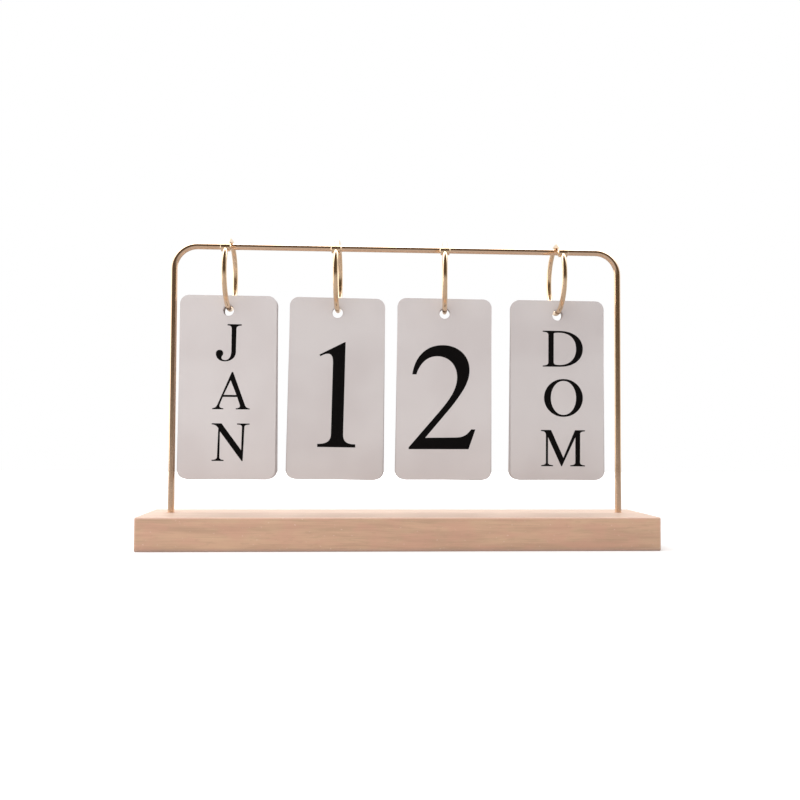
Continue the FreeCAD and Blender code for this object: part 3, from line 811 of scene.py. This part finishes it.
@dataclass
class CardPack:
    """A pack of cards on one ring, with the print on the cards that can be seen."""

    hanger: Hanger
    count: int
    front: tuple[Character, ...]
    second: tuple[Character, ...]
    front_finish: CardFinish
    rest_finish: CardFinish
    width: float = 54 * MM
    height: float = 103 * MM
    thickness: float = 0.4 * MM
    hole_radius: float = 3 * MM
    hole_drop: float = 8.5 * MM
    ink_lift: float = 0.004 * MM
    ink_thickness: float = 0.016 * MM

    def node(self, number: int) -> str:
        """Return the name of a card's CAD node."""
        return f"{self.hanger.value}_card_{number:02d}"

    def hole(self, number: int) -> Vector:
        """Return the centre of a card's punched hole."""
        up = self.height / 2 - self.hole_drop
        return CardSheet(self.node(number)).placing(self.width) @ Vector((0, up, 0))

    def dress(self, effects: Effects) -> None:
        """Give every card its finish.

        Args:
            effects: The shared effects.
        """
        size = Vector((self.width, self.thickness, self.height))
        for finish, numbers in ((self.front_finish, [1]), (self.rest_finish, range(2, self.count + 1))):
            material = finish.material(effects, size, self.hole(numbers[0]), self.hole_radius)
            for number in numbers:
                dress(cad(self.node(number)), material)

    def print_mesh(self, name: str, characters: Sequence[Character]) -> bpy.types.Mesh:
        """Build the mesh of a card's print, with its back on the plane Z = 0.

        Args:
            name: The mesh's name.
            characters: What is printed.

        Returns:
            The mesh, a thin layer of ink in the card's own plane.
        """
        curve = bpy.data.curves.new(name, "CURVE")
        curve.dimensions = "2D"
        curve.fill_mode = "BOTH"
        curve.extrude = self.ink_thickness / 2
        for character in characters:
            corner = Vector((character.right - character.width() * character.height / 2,
                             character.up - character.height / 2))
            for outline in GLYPHS[character.glyph]:
                points = trace(outline)
                spline = curve.splines.new("POLY")
                spline.points.add(len(points) - 1)
                spline.use_cyclic_u = True
                for spot, point in zip(spline.points, points):
                    spot.co = (*(corner + Vector(point) * character.height), 0.0, 1.0)
        shape = bpy.data.objects.new(name, curve)
        bpy.context.scene.collection.objects.link(shape)
        graph = bpy.context.evaluated_depsgraph_get()
        mesh = bpy.data.meshes.new_from_object(shape.evaluated_get(graph))
        bpy.data.objects.remove(shape)
        mesh.transform(Matrix.Translation((0, 0, self.ink_lift + self.ink_thickness / 2)))
        return mesh

    def build(self, ink: bpy.types.Material) -> None:
        """Print the two cards that a view can show.

        Args:
            ink: The material of the print.
        """
        bodies = {1: f"{self.hanger.value}_front_card", 2: f"{self.hanger.value}_pack"}
        for number, characters in ((1, self.front), (2, self.second)):
            name = f"{self.hanger.value}_print_{number:02d}"
            mesh = self.print_mesh(name, characters)
            mesh.transform(CardSheet(self.node(number)).placing(self.width))
            piece = bpy.data.objects.new(name, mesh)
            bpy.context.scene.collection.objects.link(piece)
            dress(piece, ink)
            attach(piece, bodies[number])


@dataclass
class Plank:
    """The wooden plank with its two sockets."""

    length: float = 280 * MM
    depth: float = 60 * MM
    thickness: float = 18 * MM
    finish: WoodFinish = WoodFinish()

    def dress(self, effects: Effects) -> None:
        """Give the plank its wood.

        Args:
            effects: The shared effects.
        """
        size = Vector((self.length, self.depth, self.thickness))
        dress(cad("base_plank"), self.finish.material(effects, size))


@dataclass
class WireFrame:
    """The bent wire that carries the rings."""

    finish: BrassFinish = BrassFinish("frame_brass", (0.86, 0.64, 0.465), (0.70, 0.48, 0.31))

    def dress(self, effects: Effects) -> None:
        """Give the wire its plating.

        Args:
            effects: The shared effects.
        """
        dress(cad("frame_wire"), self.finish.material(effects))


@dataclass
class BookRings:
    """The four hinged rings, three pieces each."""

    finish: BrassFinish = BrassFinish("ring_brass", (0.88, 0.67, 0.46), (0.70, 0.50, 0.30),
                                      roughness=0.11, marks_per_metre=900.0)

    def dress(self, effects: Effects) -> None:
        """Give every ring its plating.

        Args:
            effects: The shared effects.
        """
        material = self.finish.material(effects)
        for hanger in Hanger:
            for piece in ("hanging_half", "gate_half", "rivet"):
                dress(cad(f"{hanger.value}_ring_{piece}"), material)


@dataclass(frozen=True)
class Lamp:
    """A square soft box, which gloss doesn't mirror."""

    name: str
    spot: tuple[float, float, float]
    side: float
    power: float

    def build(self, target: Vector) -> None:
        """Add the lamp.

        Args:
            target: The point that it faces.
        """
        light = bpy.data.lights.new(self.name, "AREA")
        light.shape = "SQUARE"
        light.size = self.side
        light.energy = self.power
        lamp = bpy.data.objects.new(self.name, light)
        lamp.location = self.spot
        lamp.rotation_euler = (target - Vector(self.spot)).to_track_quat("-Z", "Y").to_euler()
        lamp.visible_glossy = False
        bpy.context.scene.collection.objects.link(lamp)
        log.info("lamp %s", self.name)


@dataclass
class Studio:
    """Floor, surroundings and lamps."""

    floor_side: float = 2.4
    floor_drop: float = 0.05 * MM
    floor_colour: Colour = (0.90, 0.90, 0.90)
    floor_in_gloss: Colour = (0.50, 0.46, 0.44)
    floor_roughness: float = 0.9
    glow_near: float = 0.22
    glow_far: float = 1.0
    glow_band: Band = (0.3, 0.95)
    white: Colour = (1.0, 1.0, 1.0)
    room: Colour = (0.60, 0.60, 0.606)
    gloss_beside: Colour = (1.0, 0.98, 0.95)
    gloss_left: Colour = (1.9, 1.85, 1.75)
    gloss_above: Colour = (4.2, 4.2, 4.2)
    gloss_low_front: Colour = (0.67, 0.65, 0.64)
    gloss_high_front: Colour = (0.105, 0.078, 0.052)
    target: tuple[float, float, float] = (0.0, 0.0, 0.09)
    lamps: tuple[Lamp, ...] = (
        Lamp("overhead", (-0.30, 0.20, 1.25), 1.1, 9.5),
        Lamp("front_fill", (-0.55, -1.35, 0.75), 1.2, 6.0),
        Lamp("left", (-1.3, -0.2, 0.5), 0.9, 3.0),
    )

    def floor(self) -> None:
        """Lay the white floor, which keeps the object's shadow."""
        half = self.floor_side / 2
        down = -self.floor_drop
        mesh = bpy.data.meshes.new("floor")
        corners = [(-half, -half, down), (half, -half, down), (half, half, down), (-half, half, down)]
        mesh.from_pydata(corners, [], [(0, 1, 2, 3)])
        floor = bpy.data.objects.new("floor", mesh)
        bpy.context.scene.collection.objects.link(floor)
        material, nodes, shader = new_material("floor_white")
        path = nodes.add("ShaderNodeLightPath").outputs
        away = nodes.vector("LENGTH", nodes.add("ShaderNodeTexCoord").outputs["Object"])
        starts, ends = (share * half for share in self.glow_band)
        glow = nodes.step(away, starts, ends, self.glow_near, self.glow_far)
        nodes.fill(shader, {
            "Base Color": nodes.mix(path["Is Glossy Ray"], self.floor_colour, self.floor_in_gloss),
            "Roughness": self.floor_roughness,
            "Specular IOR Level": 0.0,
            "Emission Color": self.white,
            "Emission Strength": nodes.math("MULTIPLY", path["Is Camera Ray"], glow),
        })
        mesh.materials.append(material)

    def surroundings(self) -> None:
        """Make the room: plain white to the eye, even for soft light, and darker in front for gloss."""
        world = bpy.data.worlds.new("room")
        bpy.context.scene.world = world
        world.use_nodes = True
        nodes = Nodes(world.node_tree)
        world.node_tree.nodes.clear()
        path = nodes.add("ShaderNodeLightPath").outputs
        x, y, z = nodes.split(nodes.add("ShaderNodeTexCoord").outputs["Generated"])
        left = nodes.step(x, -0.35, -0.85)
        above = nodes.step(z, 0.35, 0.80)
        high = nodes.step(z, -0.22, 0.12)
        front = nodes.math("MULTIPLY", nodes.step(y, 0.02, -0.30), nodes.step(z, 0.92, 0.985, 1.0, 0.0))
        around = nodes.layers(self.gloss_beside, ((left, self.gloss_left), (above, self.gloss_above)))
        ahead = nodes.mix(high, self.gloss_low_front, self.gloss_high_front)
        seen = nodes.layers(self.room, (
            (path["Is Glossy Ray"], nodes.mix(front, around, ahead)),
            (path["Is Camera Ray"], self.white)))
        background = nodes.add("ShaderNodeBackground", {"Color": seen, "Strength": 1.0})
        nodes.add("ShaderNodeOutputWorld", {"Surface": background.outputs[0]})

    def build(self) -> None:
        """Set up the whole studio."""
        self.floor()
        self.surroundings()
        for lamp in self.lamps:
            lamp.build(Vector(self.target))
        bpy.context.scene.view_settings.view_transform = "Standard"


@dataclass
class Camera:
    """The camera, where the photograph was taken from. Its angles are in degrees."""

    spot: tuple[float, float, float] = (-34.7 * MM, -546.2 * MM, 59.5 * MM)
    yaw: float = 3.69
    pitch: float = 2.30
    roll: float = 0.28
    focal_pixels: float = 971.9
    picture_pixels: float = 800.0
    sensor_mm: float = 36.0
    nearest: float = 0.01

    def build(self) -> None:
        """Add the camera and use it."""
        yaw, pitch, roll = (math.radians(angle) for angle in (self.yaw, self.pitch, self.roll))
        ahead = Vector((math.sin(yaw) * math.cos(pitch), math.cos(yaw) * math.cos(pitch), math.sin(pitch)))
        level = ahead.cross(Vector((0, 0, 1))).normalized()
        upright = level.cross(ahead)
        right = math.cos(roll) * level + math.sin(roll) * upright
        up = math.cos(roll) * upright - math.sin(roll) * level
        data = bpy.data.cameras.new("camera")
        data.sensor_fit = "HORIZONTAL"
        data.sensor_width = self.sensor_mm
        data.lens = self.focal_pixels / self.picture_pixels * self.sensor_mm
        data.clip_start = self.nearest
        camera = bpy.data.objects.new("camera", data)
        turned = Matrix((right, up, -ahead)).transposed().to_4x4()
        camera.matrix_world = Matrix.Translation(self.spot) @ turned
        bpy.context.scene.collection.objects.link(camera)
        bpy.context.scene.camera = camera


def letters(word: str, height: float, places: Sequence[Point]) -> tuple[Character, ...]:
    """Set out a word down a card.

    Args:
        word: The letters from top to bottom.
        height: The cap height in millimetres.
        places: How far right and up each letter's middle is from the card's middle, in millimetres.

    Returns:
        The characters.
    """
    return tuple(Character(glyph, right * MM, up * MM, height * MM)
                 for glyph, (right, up) in zip(word, places))


# The tint of the card stock, and how much darker painted shade makes the cards behind the front one.
PALE_TINT = Vector((1.0, 0.925, 0.905))
SHADED_TINT = Vector((1.0, 0.91, 0.89))
SHADE_BEHIND = 0.96


def card_finish(name: str, pale: float, shaded: float) -> CardFinish:
    """Make the finish of one batch of card stock.

    Args:
        name: The material's name.
        pale: How light its light patches are.
        shaded: How light its dark patches of painted shade are.

    Returns:
        The finish.
    """
    return CardFinish(name, tuple(pale * PALE_TINT), tuple(shaded * SHADED_TINT))


def packs() -> list[CardPack]:
    """Return the four packs, from left to right."""
    month, month_cap = ((0.34, 24.79), (2.04, -2.09), (1.99, -30.96)), 21.0
    weekday, weekday_cap = ((3.10, 23.70), (3.56, -4.53), (3.29, -33.35)), 20.7
    one_cap, digit_cap = 59.75, 59.4
    rows = (
        (Hanger.MONTH, 12, 0.69, 0.64,
         letters("JAN", month_cap, month), letters("FEV", month_cap, month)),
        (Hanger.TENS, 4, 0.66, 0.605,
         letters("1", one_cap, ((0.61, -3.47),)), letters("2", digit_cap, ((0.6, -4.2),))),
        (Hanger.UNITS, 10, 0.67, 0.62,
         letters("2", digit_cap, ((-0.89, -4.78),)), letters("3", digit_cap, ((0.2, -4.6),))),
        (Hanger.WEEKDAY, 7, 0.645, 0.595,
         letters("DOM", weekday_cap, weekday), letters("SEG", weekday_cap, weekday)),
    )
    return [CardPack(hanger, count, front, second,
                     card_finish(f"{hanger.value}_front_card_stock", pale, shaded),
                     card_finish(f"{hanger.value}_card_stock", pale * SHADE_BEHIND, shaded * SHADE_BEHIND))
            for hanger, count, pale, shaded, front, second in rows]


def main() -> None:
    """Build the look of the whole calendar."""
    logging.basicConfig(level=logging.INFO, format="%(message)s")
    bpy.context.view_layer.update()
    effects = Effects()
    Plank().dress(effects)
    WireFrame().dress(effects)
    BookRings().dress(effects)
    ink = InkFinish().material(effects)
    for pack in packs():
        pack.dress(effects)
        pack.build(ink)
    Studio().build()
    Camera().build()


if __name__ == "__main__":
    main()
